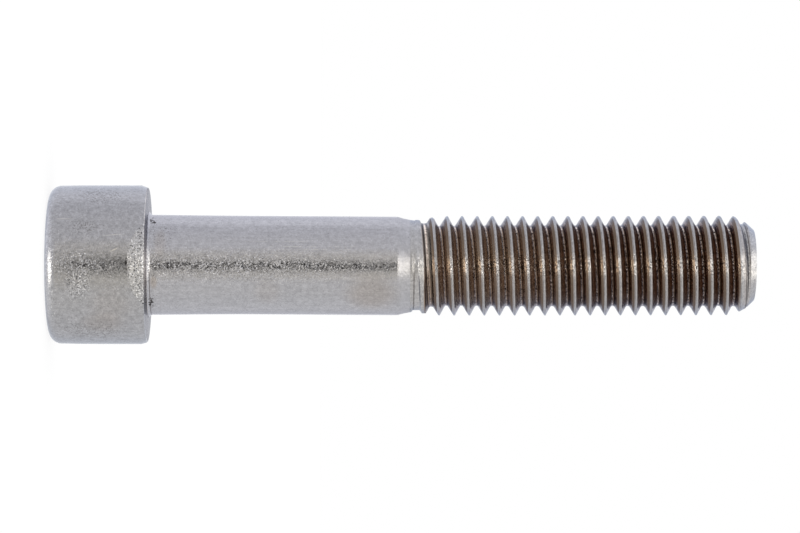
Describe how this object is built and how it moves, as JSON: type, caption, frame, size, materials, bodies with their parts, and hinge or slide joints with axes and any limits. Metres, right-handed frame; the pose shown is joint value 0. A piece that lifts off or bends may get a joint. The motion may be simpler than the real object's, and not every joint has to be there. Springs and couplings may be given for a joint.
{
  "type": "hexalobular socket cap screw",
  "caption": "Cylinder-head cap screw with a hexalobular socket, a partly plain shank and a right-hand thread to a chamfered point.",
  "frame": {"origin": "centre of the head's top face, on which the screw stands", "axes": "+Z along the screw's axis from the head to the point, +X through one of the socket's lobes"},
  "size_m": [0.0158, 0.0158, 0.0698],
  "materials": {
    "steel": "plain stainless steel, finely pitted and drawn"
  },
  "bodies": {
    "root": {"cap_screw": "steel"}
  },
  "joints": []
}
